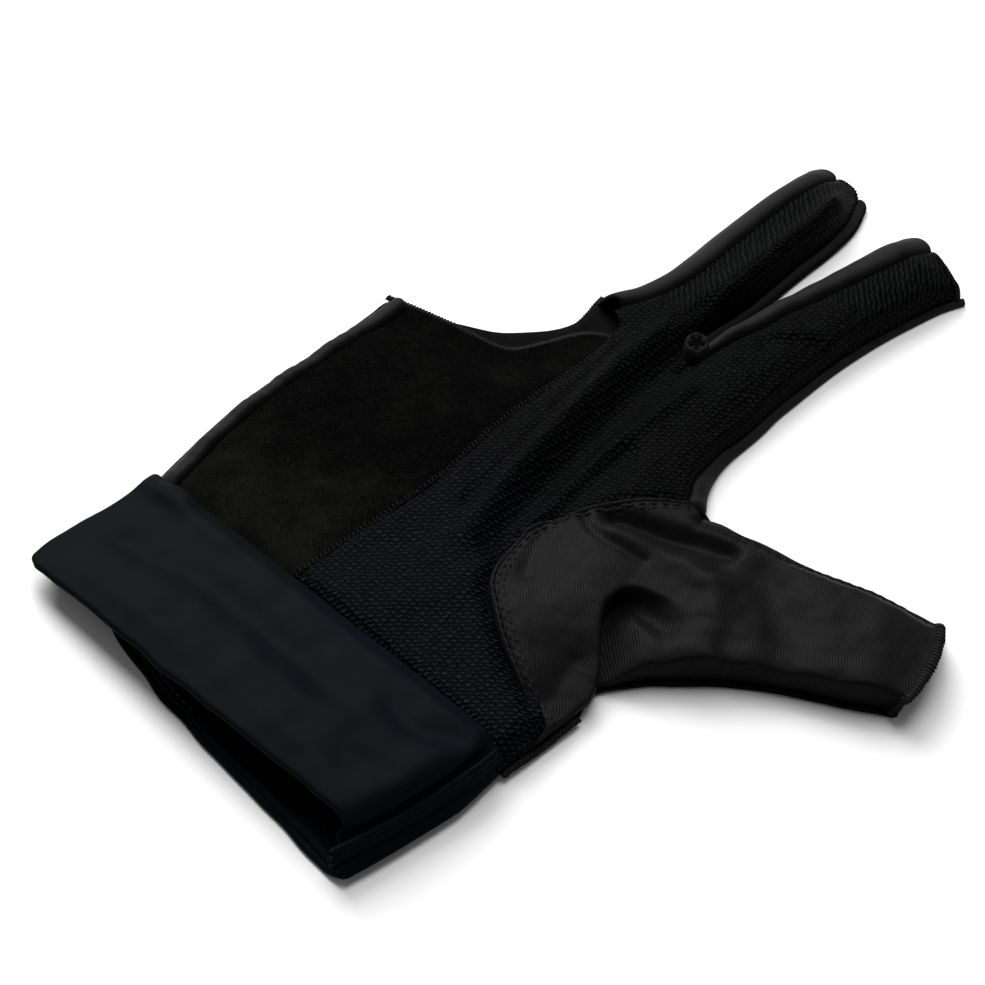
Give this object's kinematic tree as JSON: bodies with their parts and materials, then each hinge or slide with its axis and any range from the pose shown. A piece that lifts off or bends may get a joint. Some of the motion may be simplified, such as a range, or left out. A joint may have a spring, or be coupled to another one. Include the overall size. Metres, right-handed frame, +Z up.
{
  "type": "billiard glove",
  "caption": "Left-hand glove for cue sports lying back up: thumb, index and middle finger tubes without tips, an open side for the other fingers, and a wide stretch cuff.",
  "frame": {"origin": "centre of the bounding box on the table plane, under the palm", "axes": "+Y towards the fingertips, +X towards the thumb, +Z up from the table, the back of the hand up"},
  "size_m": [0.1686, 0.2262, 0.0133],
  "materials": {
    "cuff_knit": "smooth doubled stretch knit, matt with a faint sheen",
    "mesh_knit": "open zigzag mesh knit, matt",
    "suede": "napped synthetic suede, very matt",
    "twill": "fine ribbed stretch twill, soft sheen",
    "strip_knit": "smooth stretch knit, soft sheen",
    "palm_knit": "plain stretch knit, matt",
    "thread": "overlock thread"
  },
  "bodies": {
    "root": {"cuff_band": "cuff_knit", "cuff_hem": "cuff_knit", "cuff_side_seam": "cuff_knit", "palm_panel": "palm_knit", "back_mesh": "mesh_knit", "back_suede": "suede", "thumb_panel": "twill", "little_finger_side_strip": "strip_knit", "middle_outer_strip": "strip_knit", "middle_inner_strip": "strip_knit", "index_outer_strip": "strip_knit", "index_web_strip": "strip_knit", "thumb_web_strip": "strip_knit", "crotch_gather": "strip_knit", "suede_overlock": "thread", "palm_overlock": "thread", "side_seam_overlock": "thread", "thumb_overlock": "thread", "middle_tip_overlock": "thread", "index_tip_overlock": "thread", "thumb_lap_seam": "twill"}
  },
  "joints": []
}
